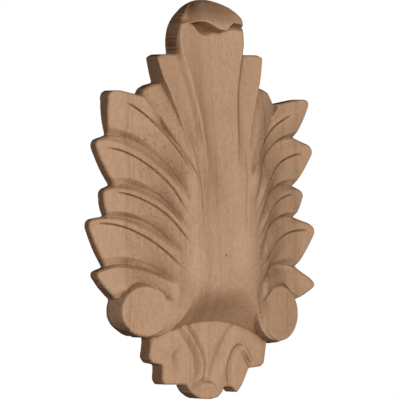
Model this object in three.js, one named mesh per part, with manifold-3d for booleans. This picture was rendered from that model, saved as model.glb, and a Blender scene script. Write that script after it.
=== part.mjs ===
// Carved wooden rosette: an upright palmette ornament that is fixed with its flat back to furniture,
// a door or a panel. One piece of wood. Millimetres, +Z up, the front faces -Y, the back lies on Y = 0.
// The origin is on the back face, on the middle line, at half the height.

import * as THREE from 'three';
import { mergeVertices } from 'three/addons/utils/BufferGeometryUtils.js';
import Module from 'manifold-3d';

// Driving dimensions
const TOTAL_HEIGHT = 178;
const TOP_Z = TOTAL_HEIGHT / 2;
const BOTTOM_Z = -TOTAL_HEIGHT / 2;
const SIDES = { left: -1, right: 1 };
const WOOD_COLOUR = 0xae8c70;

// Stops are [place, value] pairs, in rising order of place

// The stem: half width, height of its rim and depth of the flute, against Z
const STEM_HALF_WIDTH = [
  [-56, 17], [-48, 18.5], [-38, 20.5], [-14, 19], [0, 16], [12, 12.5], [23, 9.8],
  [31, 9.8], [47, 11.2], [62, 14], [70, 16.2], [80, 16.5],
];
const STEM_RIM_HEIGHT = [
  [-56, 9], [-52, 13], [-48, 17], [-43, 21.5], [-38, 23.8], [-28, 24.8], [-14, 24.4],
  [8, 23.8], [23, 22.6], [31, 20], [47, 16], [62, 14], [72, 13.6], [80, 12.5],
];
const FLUTE_DEPTH = [[-56, 0], [-40, 0.4], [-20, 1.2], [0, 3], [20, 4.4], [60, 4.2], [80, 5]];

// The cap: half width and crown height against Z, and the brow that hangs over the two eyes
const CAP_HALF_WIDTH = [
  [62, 16.6], [66, 16.9], [71, 17], [75, 16.5], [79, 15], [83, 12.1], [86, 8.9], [88, 5.2], [89, 1.6],
];
const CAP_CROWN = [[66, 14.5], [74, 16], [78, 16.8], [81, 16.4], [84, 14.8], [87, 11.6], [89, 8]];
const CAP_SHOULDER_FALL = 3.6;
const BROW = { z: 79, beakDrop: 4.4, beakHalfWidth: 7, endDrop: 2, endStart: 9, undercut: 3.4 };

// The shoulder beside the stem, and the ear below it: points are [distance from the middle, Z]
const SHOULDER = {
  footZ: 12,
  innerEndZ: 64.6,
  outerFoot: [13.2, 15],
  outerEnd: [25.4, 64.2],
  outerCorner: [26, 50],
  outerTo: 76,
  edgeHeight: 11.4,
  footHeight: 22.2,
};
const EAR = {
  footZ: 4,
  innerEndZ: 52,
  outerFoot: [15.6, 6],
  outerEnd: [33.8, 48.6],
  outerCorner: [35.4, 44.6],
  outerTo: 48,
  edgeHeight: 7,
  footHeight: 22.6,
};

// Five leaves on each side, from the top down. A tip and a valley are [distance from the middle, Z]
const LEAVES = [
  { tip: { left: [50.8, 45.6], right: [53.2, 43.6] }, edge: 5.4, valley: [48.2, 28.4] },
  { tip: { left: [55.8, 23.6], right: [56.2, 21.4] }, edge: 3.8, valley: [47.4, 6.6] },
  { tip: { left: [51.6, 1.8], right: [51.8, 2.6] }, edge: 3.8, valley: [48.6, -7.7] },
  { tip: { left: [58.6, -11.8], right: [58.0, -14.6] }, edge: 3.8, valley: [49.3, -29.6] },
  { tip: { left: [55.6, -34.2], right: [55.2, -38] }, edge: 6, valley: [46, -44.6] },
];
const TOP_LEAF_CORNER = [36.4, 45.6];
const VALLEY_HEIGHT = 3.6;
const LEAF_REACH = 56;
const LEAF_FALL = 1.15;

// Where the veins leave the stem (Z) and their directions in degrees, at the stem and at the edge
const FEET = [
  { z: 5, from: 72, to: 48 }, { z: -7, from: 60, to: 15 }, { z: -15, from: 55, to: 3 },
  { z: -26, from: 46, to: 2 }, { z: -38, from: 40, to: -8 }, { z: -46, from: 28, to: -34 },
];
const CUTS = [
  { z: 3, from: 70, to: 20 }, { z: -11, from: 62, to: 5 }, { z: -18, from: 60, to: 8 },
  { z: -32, from: 50, to: 3 }, { z: -42, from: 40, to: -14 },
];

// Relief across one leaf: [share of the leaf's breadth, height above the general slope]
const CUT_PLACE = 0.27;
const LEAF_RELIEF = [
  [0, -1.7], [0.07, -1.1], [0.14, 0.5], [0.2, 1], [0.245, 0.9], [CUT_PLACE, -0.5], [0.3, 0.5],
  [0.42, 0.9], [0.6, 0.8], [0.8, 0.1], [0.93, -1], [1, -1.7],
];

// The volutes at the foot of the stem
const VOLUTE = { x: 35, z: -50.2, radius: 10.6, height: 14.2, tilt: 0.28, wall: 1.1, dome: 0.6 };
const SCROLL = { reach: 8.4, startAngle: 95, endAngle: -100, lift: 2.6 };

// The roll at the stem's lower end arches over the small tail leaf
const ROLL_ARCH = 0.0145;
const ROLL_START_Z = -38;
const ROLL_END_Z = -57;

// The tail leaf: its veins start under the roll and end on the edge, [share, distance, Z]
const TAIL_HEIGHT = 10;
const TAIL_START = [[0, 0, -49], [0.3, 12.5, -51], [0.45, 16.5, -53], [0.7, 22, -54], [1, 28, -55]];
const TAIL_BOW = [[0, 0], [0.3, -5.4], [0.45, -6.4], [0.7, -3], [1, 0]];
const TAIL_EDGE = {
  left: [
    [0, 0, BOTTOM_Z], [0.2, 4, -88.9], [0.3, 7.6, -87.6], [0.4, 10.2, -85.6], [0.45, 12, -82.4],
    [0.66, 23, -82], [0.74, 24, -77.6], [0.82, 24.4, -73.6], [0.88, 29.2, -72.4], [0.93, 30.3, -69.4],
    [0.97, 28.8, -65.8], [1, 30.6, -62],
  ],
  right: [
    [0, 0, BOTTOM_Z], [0.2, 4.4, -88.6], [0.3, 7.6, -86.4], [0.4, 9.6, -83.8], [0.45, 12, -83.6],
    [0.52, 14.2, -86.2], [0.66, 18, -80.6], [0.76, 20.6, -75], [0.84, 26.6, -74.6], [0.9, 28.2, -71.4],
    [0.96, 29, -66], [1, 30.6, -62],
  ],
};
const TAIL_RELIEF = [
  [0, 1], [0.15, 0.9], [0.26, 0.3], [0.3, -1.4], [0.34, 0.3], [0.38, 0.7], [0.42, 0.3], [0.45, -1.2],
  [0.5, 0.4], [0.6, 0.9], [0.74, 0.2], [0.8, -0.8], [0.86, 0.5], [1, 0.2],
];

const wasm = await Module();
wasm.setup();

function between(a, b, share) {
  return a + (b - a) * share;
}

function clamp01(value) {
  return Math.min(1, Math.max(0, value));
}

function easeIn(value) {
  const t = clamp01(value);
  return t * t * (3 - 2 * t);
}

// A smooth curve through the stops, flat beyond both ends
function along(stops, place) {
  const last = stops.length - 1;
  if (place <= stops[0][0]) return stops[0][1];
  if (place >= stops[last][0]) return stops[last][1];
  let i = 0;
  while (stops[i + 1][0] < place) i += 1;
  const slope = (a, b) => (stops[b][1] - stops[a][1]) / (stops[b][0] - stops[a][0]);
  const step = stops[i + 1][0] - stops[i][0];
  const t = (place - stops[i][0]) / step;
  const leave = i > 0 ? slope(i - 1, i + 1) : slope(i, i + 1);
  const arrive = i + 1 < last ? slope(i, i + 2) : slope(i, i + 1);
  const t2 = t * t;
  const t3 = t2 * t;
  return (2 * t3 - 3 * t2 + 1) * stops[i][1] + (t3 - 2 * t2 + t) * step * leave
    + (3 * t2 - 2 * t3) * stops[i + 1][1] + (t3 - t2) * step * arrive;
}

function stepped(stops, place) {
  let i = 0;
  while (i < stops.length - 2 && stops[i + 1][0] < place) i += 1;
  const share = (place - stops[i][0]) / (stops[i + 1][0] - stops[i][0]);
  return between(stops[i][1], stops[i + 1][1], clamp01(share));
}

// A vein is a cubic curve from its start to its end, with given directions at both
function vein(start, from, end, to) {
  const chord = Math.hypot(end[0] - start[0], end[1] - start[1]);
  const pull = chord * 0.42;
  const a = THREE.MathUtils.degToRad(from);
  const b = THREE.MathUtils.degToRad(to);
  return new THREE.CubicBezierCurve(
    new THREE.Vector2(start[0], start[1]),
    new THREE.Vector2(start[0] + pull * Math.cos(a), start[1] + pull * Math.sin(a)),
    new THREE.Vector2(end[0] - pull * Math.cos(b), end[1] - pull * Math.sin(b)),
    new THREE.Vector2(end[0], end[1]),
  );
}

// A closed solid under a sheet of front points [x, z, height], which stands on the back plane
function slab(rows) {
  const count = rows[0].length;
  const position = [];
  const index = [];
  for (const row of rows) {
    for (const [x, z, height] of row) position.push(x, -height, z);
  }
  const at = (i, j) => i * count + j;
  for (let i = 0; i < rows.length - 1; i += 1) {
    for (let j = 0; j < count - 1; j += 1) {
      index.push(at(i, j), at(i, j + 1), at(i + 1, j + 1), at(i, j), at(i + 1, j + 1), at(i + 1, j));
    }
  }
  const rim = [];
  for (let j = 0; j < count - 1; j += 1) rim.push(at(0, j));
  for (let i = 0; i < rows.length - 1; i += 1) rim.push(at(i, count - 1));
  for (let j = count - 1; j > 0; j -= 1) rim.push(at(rows.length - 1, j));
  for (let i = rows.length - 1; i > 0; i -= 1) rim.push(at(i, 0));
  addWallAndBack(position, index, rim);
  return closedSolid(position, index);
}

// Adds a wall from the rim of a sheet to the back plane, and the flat back
function addWallAndBack(position, index, rim) {
  const backStart = position.length / 3;
  for (const k of rim) position.push(position[3 * k], 0, position[3 * k + 2]);
  rim.forEach((a, k) => {
    const next = (k + 1) % rim.length;
    index.push(a, backStart + k, backStart + next, a, backStart + next, rim[next]);
  });
  const outline = rim.map((k) => new THREE.Vector2(position[3 * k], position[3 * k + 2]));
  const clockwise = THREE.ShapeUtils.isClockWise(outline);
  for (const [a, b, c] of THREE.ShapeUtils.triangulateShape(outline, [])) {
    index.push(backStart + a, backStart + (clockwise ? b : c), backStart + (clockwise ? c : b));
  }
}

function closedSolid(position, index) {
  const geometry = new THREE.BufferGeometry();
  geometry.setAttribute('position', new THREE.Float32BufferAttribute(position, 3));
  geometry.setIndex(index);
  const merged = mergeVertices(geometry, 1e-3);
  const vertProperties = new Float32Array(merged.attributes.position.array);
  const triVerts = outwardTriangles(vertProperties, new Uint32Array(merged.index.array));
  return new wasm.Manifold(new wasm.Mesh({ numProp: 3, vertProperties, triVerts }));
}

// Drops triangles that merging has closed up, and turns the faces outward
function outwardTriangles(points, triangles) {
  const kept = [];
  let volume = 0;
  for (let t = 0; t < triangles.length; t += 3) {
    const [a, b, c] = [triangles[t], triangles[t + 1], triangles[t + 2]];
    if (a === b || b === c || c === a) continue;
    kept.push(a, b, c);
    const [p, q, r] = [a, b, c].map((k) => new THREE.Vector3().fromArray(points, 3 * k));
    volume += p.dot(q.cross(r));
  }
  if (volume < 0) {
    for (let t = 0; t < kept.length; t += 3) [kept[t + 1], kept[t + 2]] = [kept[t + 2], kept[t + 1]];
  }
  return new Uint32Array(kept);
}

function sheet(rowCount, columnCount, point) {
  const rows = [];
  for (let i = 0; i <= rowCount; i += 1) {
    const row = [];
    for (let j = 0; j <= columnCount; j += 1) row.push(point(i / rowCount, j / columnCount));
    rows.push(row);
  }
  return rows;
}

function stem() {
  const rimEdge = 0.9;
  const skirt = 3.2;
  return slab(sheet(32, 16, (i, j) => {
    const z = between(ROLL_END_Z, 80, i);
    const across = 2 * j - 1;
    const x = across * (along(STEM_HALF_WIDTH, z) + 0.6);
    const depth = along(FLUTE_DEPTH, z);
    const inner = Math.min(1, Math.abs(across) / rimEdge);
    const outer = clamp01((Math.abs(across) - rimEdge) / (1 - rimEdge));
    const height = along(STEM_RIM_HEIGHT, z) - depth * (1 - inner * inner) - skirt * outer * outer;
    const arch = ROLL_ARCH * x * x * easeIn((ROLL_START_Z - z) / (ROLL_START_Z - ROLL_END_Z));
    return [x, z - arch, height];
  }));
}

// The general slope of the leaves, from the stem's rim down to the edge
function leafSlope(x, z, edge) {
  const start = along(STEM_HALF_WIDTH, z);
  const share = clamp01((x - start) / (LEAF_REACH - start));
  const top = along(STEM_RIM_HEIGHT, Math.min(z, 60)) - 0.8;
  return edge + (top - edge) * (1 - share) ** LEAF_FALL;
}

function leafOutline(side) {
  let upper = TOP_LEAF_CORNER;
  return LEAVES.map((leaf) => {
    const tip = leaf.tip[side];
    const edges = { upper, tip, lower: leaf.valley, leaf };
    upper = leaf.valley;
    return edges;
  });
}

function edgePoint({ upper, tip, lower }, share) {
  const shoulder = 0.16;
  if (share <= CUT_PLACE) {
    const t = share / CUT_PLACE;
    const bulge = Math.sin(Math.PI * Math.sqrt(t)) * shoulder;
    const [dx, dz] = [tip[0] - upper[0], tip[1] - upper[1]];
    return [upper[0] + dx * t + Math.abs(dz) * bulge, upper[1] + dz * t + Math.abs(dx) * bulge];
  }
  const t = (share - CUT_PLACE) / (1 - CUT_PLACE);
  const bulge = Math.sin(Math.PI * t) * 0.09;
  const [dx, dz] = [lower[0] - tip[0], lower[1] - tip[1]];
  return [tip[0] + dx * t - dz * bulge, tip[1] + dz * t + dx * bulge * 0.4];
}

function leafFan(side) {
  const sign = SIDES[side];
  const outline = leafOutline(side);
  const stations = LEAF_RELIEF.slice(0, -1).map(([share]) => share);
  const columns = [];
  outline.forEach((edges, k) => {
    stations.forEach((share) => columns.push([edges, k, share]));
  });
  columns.push([outline[4], 4, 1]);
  const steps = 13;
  const rows = columns.map(([edges, k, share]) => {
    const toCut = share <= CUT_PLACE;
    const before = toCut ? FEET[k] : CUTS[k];
    const after = toCut ? CUTS[k] : FEET[k + 1];
    const t = toCut ? share / CUT_PLACE : (share - CUT_PLACE) / (1 - CUT_PLACE);
    const startZ = between(before.z, after.z, t);
    const start = [along(STEM_HALF_WIDTH, startZ) - 1.5, startZ];
    const end = edgePoint(edges, share);
    const curve = vein(start, between(before.from, after.from, t), end, between(before.to, after.to, t));
    const edge = between(VALLEY_HEIGHT, edges.leaf.edge, Math.sin(Math.PI * Math.sqrt(share)) ** 0.5 || 0);
    return Array.from({ length: steps + 1 }, (_, i) => {
      const { x, y: z } = curve.getPoint(i / steps);
      const rise = easeIn((i / steps - 0.05) / 0.5);
      return [sign * x, z, leafSlope(x, z, edge) + rise * stepped(LEAF_RELIEF, share)];
    });
  });
  return slab(rows);
}

// A strip that leaves the stem's rim and ends bluntly, with a step down on its outer side
function strip(side, form, lift) {
  const sign = SIDES[side];
  const leaveDegrees = 74;
  const flatTo = 0.86;
  const endFrom = 0.6;
  const outer = vein(form.outerFoot, leaveDegrees, form.outerCorner, form.outerTo);
  return slab(sheet(13, 7, (i, j) => {
    const innerZ = between(form.footZ, form.innerEndZ, i);
    const inner = [along(STEM_HALF_WIDTH, innerZ) - 1.4, innerZ];
    const b = outer.getPoint(i);
    const flat = clamp01(j / flatTo);
    const step = clamp01((j - flatTo) / (1 - flatTo));
    const cornerShare = easeIn((i - endFrom) / (1 - endFrom));
    const cornerX = between(b.x, form.outerEnd[0], cornerShare);
    const cornerZ = between(b.y, form.outerEnd[1], cornerShare);
    const x = step > 0 ? between(cornerX, b.x, step) : between(inner[0], cornerX, flat);
    const z = step > 0 ? between(cornerZ, b.y, step) : between(inner[1], cornerZ, flat);
    const fall = between(form.footHeight, form.edgeHeight, i ** 0.95);
    const ridge = lift * Math.sin(Math.PI * Math.min(1, j * 1.5)) * easeIn(i * 1.5);
    return [sign * x, z, fall + ridge];
  }));
}

function browZ(x) {
  const beak = BROW.beakDrop * (1 - easeIn(Math.abs(x) / BROW.beakHalfWidth));
  return BROW.z - beak - BROW.endDrop * easeIn((Math.abs(x) - BROW.endStart) / 5);
}

function cap() {
  const crown = sheet(11, 20, (i, j) => {
    const across = 2 * j - 1;
    const lip = Math.max(0, (i * 11 - 1) / 10);
    const browX = across * 16.2;
    const eye = BROW.undercut * (1 - Math.abs(across) ** 6);
    const z = i === 0 ? browZ(browX) - eye : between(browZ(browX), TOP_Z - 0.2, lip ** 0.8);
    const x = across * along(CAP_HALF_WIDTH, z);
    const height = along(CAP_CROWN, z) - CAP_SHOULDER_FALL * Math.abs(across) ** 3;
    return [x, z, i === 0 ? 8 : height];
  });
  const block = sheet(8, 12, (i, j) => {
    const z = between(60, 78, i);
    const across = 2 * j - 1;
    const height = along(STEM_RIM_HEIGHT, z) - along(FLUTE_DEPTH, z) * (1 - across * across) - 0.8;
    return [across * along(CAP_HALF_WIDTH, z), z, height];
  });
  return slab(crown).add(slab(block));
}

function volute(side) {
  const sign = SIDES[side];
  const { x, z, radius, height, tilt, wall, dome } = VOLUTE;
  const disc = roundSlab(28, 4, (turn, out) => {
    const spread = out * radius + (out >= 1 ? wall : 0);
    const px = x + spread * Math.cos(turn);
    const pz = z + spread * Math.sin(turn);
    const level = height - tilt * (px - x) + dome * (1 - out * out);
    return [sign * px, pz, out >= 1 ? level - 1.2 : level];
  });
  const scroll = roundSlab(36, 4, (turn, out) => {
    const degrees = THREE.MathUtils.radToDeg(Math.PI - turn);
    const share = clamp01((degrees - SCROLL.endAngle) / (SCROLL.startAngle - SCROLL.endAngle));
    const swell = Math.sin(Math.PI * easeIn(share)) ** 0.8;
    const spread = out * (radius - 1 + swell * SCROLL.reach);
    const px = x + spread * Math.cos(turn);
    const pz = z + spread * Math.sin(turn);
    const past = Math.max(0, spread - radius) / SCROLL.reach;
    return [sign * px, pz, height - 2.4 - tilt * (px - x) + past * SCROLL.lift];
  });
  return disc.add(scroll);
}

// A closed solid under a round sheet whose first ring is a point in its middle
function roundSlab(turns, rings, point) {
  const position = [];
  const index = [];
  const add = ([x, z, height]) => position.push(x, -height, z);
  add(point(0, 0));
  for (let r = 1; r <= rings; r += 1) {
    for (let k = 0; k < turns; k += 1) add(point((2 * Math.PI * k) / turns, r / rings));
  }
  const at = (r, k) => 1 + (r - 1) * turns + (k % turns);
  const rim = Array.from({ length: turns }, (_, k) => at(rings, k));
  for (let k = 0; k < turns; k += 1) {
    index.push(0, at(1, k), at(1, k + 1));
    for (let r = 1; r < rings; r += 1) {
      index.push(at(r, k), at(r + 1, k), at(r + 1, k + 1), at(r, k), at(r + 1, k + 1), at(r, k + 1));
    }
  }
  addWallAndBack(position, index, rim);
  return closedSolid(position, index);
}

function tail(side) {
  const sign = SIDES[side];
  const pick = (stops, share, k) => stepped(stops.map((stop) => [stop[0], stop[k]]), share);
  const shares = [...TAIL_EDGE[side], ...TAIL_RELIEF].map(([share]) => share);
  const columns = [...new Set(shares)].sort((a, b) => a - b);
  const steps = 9;
  return slab(columns.map((share) => {
    const start = new THREE.Vector2(pick(TAIL_START, share, 1), pick(TAIL_START, share, 2));
    const end = new THREE.Vector2(pick(TAIL_EDGE[side], share, 1), pick(TAIL_EDGE[side], share, 2));
    const bow = new THREE.Vector2(pick(TAIL_BOW, share, 1), 0);
    const curve = new THREE.CubicBezierCurve(
      start,
      start.clone().lerp(end, 0.3).add(bow),
      start.clone().lerp(end, 0.65).add(bow),
      end,
    );
    return Array.from({ length: steps + 1 }, (_, i) => {
      const { x, y: z } = curve.getPoint(i / steps);
      return [sign * x, z, TAIL_HEIGHT + 0.8 - 0.8 * (i / steps) + stepped(TAIL_RELIEF, share)];
    });
  }));
}

function rosetteSolid() {
  let solid = stem().add(cap());
  for (const side of Object.keys(SIDES)) {
    solid = solid
      .add(leafFan(side))
      .add(strip(side, EAR, 0.8))
      .add(strip(side, SHOULDER, 1.2))
      .add(volute(side))
      .add(tail(side));
  }
  return solid;
}

function meshOf(name, solid, material) {
  const { vertProperties, triVerts, numProp } = solid.getMesh();
  const geometry = new THREE.BufferGeometry();
  const buffer = new THREE.InterleavedBuffer(vertProperties, numProp);
  geometry.setAttribute('position', new THREE.InterleavedBufferAttribute(buffer, 3, 0));
  geometry.setIndex(new THREE.BufferAttribute(triVerts, 1));
  geometry.computeVertexNormals();
  const mesh = new THREE.Mesh(geometry, material);
  mesh.name = name;
  return mesh;
}

const wood = new THREE.MeshStandardMaterial({ color: WOOD_COLOUR, roughness: 0.75, metalness: 0 });
const group = new THREE.Group();
group.add(meshOf('rosette', rosetteSolid(), wood));

export default group;
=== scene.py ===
# Dresses the carved wooden rosette: one solid piece of sanded hardwood, seen from 30 degrees to its left.
# Shape sizes are in millimetres, as on a drawing: x to the right, z up, height forward from the flat back.

import math

import bpy
import numpy as np
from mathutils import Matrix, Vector


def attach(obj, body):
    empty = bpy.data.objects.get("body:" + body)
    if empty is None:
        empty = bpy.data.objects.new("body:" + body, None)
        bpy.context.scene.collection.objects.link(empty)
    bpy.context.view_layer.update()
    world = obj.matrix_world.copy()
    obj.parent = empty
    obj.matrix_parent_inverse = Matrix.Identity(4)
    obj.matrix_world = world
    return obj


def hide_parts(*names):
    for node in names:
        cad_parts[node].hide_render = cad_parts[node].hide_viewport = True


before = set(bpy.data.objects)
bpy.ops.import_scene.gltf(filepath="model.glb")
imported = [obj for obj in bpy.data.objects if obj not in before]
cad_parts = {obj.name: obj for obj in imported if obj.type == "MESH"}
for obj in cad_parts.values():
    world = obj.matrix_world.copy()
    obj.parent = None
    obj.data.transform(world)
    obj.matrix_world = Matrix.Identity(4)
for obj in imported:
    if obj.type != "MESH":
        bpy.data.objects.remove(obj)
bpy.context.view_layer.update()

MM = 0.001
TINY = 1e-6
SIDES = {"left": -1.0, "right": 1.0}

# The height map that the forms are pressed into
CELL = 0.2
MAP_LOW = (-62.0, -91.0)
MAP_SIZE = (620, 910)
# How many points each form is made with, close enough together to leave no cell out
POINTS = {
    "leaf": (360, 720), "layer": (800, 80), "cap": (360, 600), "volute": (1100, 160), "tail": (700, 420),
    "cut": 900, "groove": 400, "mark": 90,
}

# Stops are (place, value) pairs. Curves need them in rising order of place

# The flute down the stem: distance, height and depth of its rim against z
FLUTE_RIM = [
    (-63, 18.4), (-56, 18), (-48, 17), (-38, 17.6), (-24, 16.6), (-12, 14.6), (0, 12), (10, 9.4), (20, 8),
    (27, 8.4), (35, 8.8), (40, 9.4), (46, 10.3), (53, 11.6), (60, 13.6), (66, 15.2), (71, 16), (78, 16),
]
FLUTE_HEIGHT = [
    (-64, 0.6), (-60, 4), (-57, 7.7), (-54.6, 10.7), (-53, 12.5), (-49.6, 16.1), (-45.2, 20.4),
    (-40.7, 23.6), (-36.5, 25), (-28, 25.1), (-12, 24.7), (0, 24), (10, 23.1), (20, 21.5), (27, 20.3),
    (35, 18.9), (40, 17.5), (46, 16.1), (53, 14.8), (60, 13.6), (66, 12.9), (74, 12.6),
]
FLUTE_DEPTH = [
    (-60, 0), (-40, 0), (-25, 0.2), (-10, 0.6), (0, 1.3), (12, 2.5), (24, 3.3), (46, 3.2), (60, 2.6),
    (76, 2.2),
]
# The hollow has soft rims low down, and is a plain round one further up
FLUTE_SOFTNESS = [(4, 2), (26, 1)]
STEM_TOP_Z = 62
# The end of the stem arches into the roll over the tail
ROLL_ARCH = 0.0095
ROLL_START_Z = -36
ROLL_FULL_Z = -52.875
ROLL_END_Z = -63

# How far the stem's own surface reaches past its rim, and how much further right of the roll
STEM_MARGIN = 1.6
ROLL_REACH = [(-48, 0), (-52, 4.5)]

# The shelf between the stem's rim and the leaves: its least width, where it comes to lead to the
# leaves' height, how far it passes their rim, and where it ends
SHELF_LEAST_WIDTH = 1.5
SHELF_RISE = [(-2, 0), (10, 1)]
SHELF_MARGIN = 1
SHELF_TOP_Z = 24

# Where the leaves leave the stem, and how the surface falls from there to the edge
LEAF_RIM = [
    (-57, 15.4), (-48, 16), (-38, 16.4), (-14, 16.2), (0, 16.2), (9, 16.4), (14, 16.7), (18.5, 18.4),
    (24, 21.2), (31.8, 25), (39, 28.8), (46, 33.2),
]
LEAF_RIM_HEIGHT = [
    (-40, 26.6), (-28, 26.8), (-14, 26.4), (0, 25.6), (9, 24.4), (14, 22), (18.5, 18.8), (24, 15.2),
    (31.8, 11.2), (39, 8.4), (46, 6.4),
]
LEAF_FALL = [
    (-0.8, 2.1), (0, 1), (0.08, 0.885), (0.2, 0.7), (0.28, 0.59), (0.36, 0.485), (0.58, 0.25),
    (0.79, 0.105), (1, 0), (1.3, -0.05),
]
LEAF_REACH = 50.0
EDGE_HEIGHT = 4.0
RIM_ROUNDING = [(-50, 8), (-4, 9), (8, 5), (16, 1.4)]
# How steeply the slope rises inside the leaves' rim, so that the stem's own surface shows there
SLOPE_INSIDE_RIM = [(10, 0), (18, 12)]

# The cap, its height down the middle and along its edge, and the brow that hangs over the two eyes
CAP_FOOT_Z = 61
CAP_NECK_Z = 78
CAP_TOP_Z = 88.9
CAP_HALF_WIDTH = [
    (62, 16.2), (66, 16.8), (70, 17.1), (74, 16.7), (78, 15.5), (81, 13.6), (84, 10.8), (86, 8.4),
    (87.6, 5.4), (88.6, 2.6), (89, 0.6),
]
CAP_CROWN = [
    (62, 14), (74, 17.4), (77, 17.2), (79, 16.4), (81, 14.9), (83, 12.9), (85, 10.3), (87, 7.3), (89, 4),
]
CAP_EDGE = [
    (62, 9.8), (66, 10), (69, 10.4), (74, 11.2), (76.5, 11.6), (80, 12), (81.8, 12), (83.6, 11),
    (85.4, 9.2), (87.2, 6.6), (89, 4),
]
# How far the flute's rim keeps from the side of the neck
NECK_INSET = [(66, 0.8), (74, 2.8)]
BROW_HALF_WIDTH = 16.4
BROW = [
    (-16.4, 77.6), (-11.8, 78.3), (-9.5, 78.9), (-5.9, 78.9), (-3.3, 77.9), (-1.3, 76.6), (1.9, 75),
    (4.4, 74.8), (6, 75.8), (7.4, 77.2), (9.8, 78.3), (13.5, 78), (16.4, 77),
]
# The lower end of each eye, how deep the eye is as a share of its opening, and where its floor turns up
EYE_FLOOR = [
    (-16.4, 77.6), (-11.8, 78.3), (-8.8, 76.7), (-6.7, 74.6), (-5.4, 73.5), (-2.2, 72.7), (1, 73.4),
    (3, 74.3), (4.9, 73.6), (7.4, 74.2), (9.8, 75.2), (12.9, 75.6), (16.4, 74.8),
]
EYE_DEPTH = [(-12, 1.1), (-1, 1.2), (2, 0.4), (6, 0.4), (9, 1.1), (16.4, 1.1)]
EYE_TURN = 0.88
EYE_LEAST_OPENING = 0.1
# The dome's section is squarer low down. Its rows stand closer together towards the top
CAP_SQUARENESS = [(77, 3.2), (80, 2.2)]
CAP_ROW_POWER = 0.7
# How far the dome's edge drops on the left and rises on the right, above the brow
CAP_LEAN = (3.6, 1.7)
CAP_LEAN_START = [(77, 0), (80, 1)]
# Left of these places the dome's lip takes the lower of dome and neck, and right of them the higher
LIP_TURN_X = (-15, -7)

# The shoulder beside the stem and the ear below it, as lines from the foot to the blunt end.
# Each point is (distance from the middle, z, height)
SHOULDER_LINES = [
    [(8.2, 6, 22.6), (8.7, 20, 20.8), (9.8, 30, 18.6), (11.2, 46, 15.8), (12.8, 54, 14.4), (15.4, 64.2, 12)],
    [(9, 6, 22.8), (10, 20, 20.5), (11.3, 30, 17.2), (13, 46, 13.6), (14.8, 54, 11.8), (17.6, 64.3, 9.8)],
    [(9.8, 6, 23), (11.4, 20, 20.2), (13, 30, 16.9), (16, 46, 13.5), (18.2, 54, 11.7), (21, 64.4, 9.8)],
    [(11, 6, 23.1), (13, 20, 20.4), (15, 30, 17.4), (19, 45.6, 14.1), (21.8, 54, 12.3), (24.2, 64.3, 10.2)],
    [(12.2, 6, 23.1), (14.6, 20, 20.9), (17.2, 30, 18.1), (21.9, 45, 14.9), (24.9, 54, 12.9), (27, 63, 11)],
]
EAR_LINES = [
    [(11.8, 4, 22.8), (13, 17.4, 21), (16.1, 27.7, 18), (18.6, 36.7, 15), (21.4, 43.4, 12.8),
     (24.4, 51.6, 9)],
    [(13.2, 4, 23.6), (14.3, 16.4, 21.8), (18.2, 26.7, 17.9), (21.2, 35.2, 14.6), (24.2, 42.2, 11.5),
     (28.6, 50.6, 7.4)],
    [(13.8, 4, 24.1), (14.6, 15, 21.9), (19.4, 25.4, 18), (22.8, 33.4, 14.6), (26, 40.8, 11),
     (31.6, 48.9, 7)],
    [(14.4, 4, 24.2), (14.8, 13.9, 21.5), (20.2, 24.2, 17.6), (24, 31.7, 14), (27.6, 38.9, 10.4),
     (33.4, 45.6, 6.4)],
]
# On the right the ear ends lower, rises a little along and across its lines, and covers more of the leaf
EAR_DROP = {"left": 0, "right": 1.6}
EAR_RISE = {"left": 0, "right": 0.15}
EAR_RISE_POINTS = 3
EAR_OVERLAP = {
    "left": [],
    "right": [
        [(14.6, 3, 24.2), (15, 12, 21.6), (21.4, 21, 18.4), (26.4, 27.4, 14.4), (31, 34, 10.4),
         (35.6, 41.2, 6.4)],
    ],
}
# The first share of a line, over which a laid form grows out of the wood
LAYER_GROWN = 0.3

# A shallow groove beside the stem's rim, below the ear: (distance from the middle, z, depth)
STEM_GROOVE = [(13.2, 24, 0.2), (12.3, 14, 0.5), (11.6, 4, 0.6), (11.2, -6, 0.5), (11.1, -16, 0)]
STEM_GROOVE_HALF_WIDTH = 0.7

# Five leaves on each side, from the top down, as (corner, valley, cut): the corner that the rounded tip
# would have and the valley below it, each (distance from the middle, z), and the share of the leaf's
# breadth at which the cut divides it. The top corner is where the first leaf starts
LEAVES = {
    "left": [
        ((51.2, 49.6), (48.1, 28.2), 0.34), ((57, 25.4), (46.1, 6), 0.32), ((52.2, 3.6), (49.2, -7.8), 0.26),
        ((60.2, -9.6), (49.6, -30.4), 0.28), ((57, -33), (46, -44.6), 0.3),
    ],
    "right": [
        ((54.6, 46), (46.8, 27.4), 0.4), ((58.2, 22.6), (45.6, 6), 0.32), ((52.6, 2.6), (45.9, -8), 0.26),
        ((60.2, -12.8), (47, -30.8), 0.3), ((58.8, -38.4), (46, -45), 0.3),
    ],
}
TOP_CORNER = {"left": (33, 45.4), "right": (33.4, 41.8)}
# The tip's curve: how much of the straight edges before and after the corner it takes, its first and
# last share of the leaf's breadth, and how far the edge below it bulges
TIP_ROUNDING = (0.45, 0.28)
TIP_SHARES = (0.15, 0.4)
EDGE_BULGE = 0.6

# Where the veins start under the stem's rim, and their directions in degrees there and at the edge:
# first the lines between the leaves, then the cut within each leaf
FEET = [
    (8.6, -1, 68, 50), (11.6, -13, 60, 4), (13.1, -21, 55, -8), (14, -32, 46, -8), (14.5, -44, 40, -17),
    (13.2, -52, 28, -34),
]
CUTS = [
    (9.6, -9, 72, 16), (12.5, -17, 62, -1), (13.3, -26, 58, -1), (14.3, -38, 50, -6), (14.1, -48, 40, -16),
]
# How far the directions at its ends shape a vein, as a share of its length
VEIN_PULL = 0.42

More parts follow.
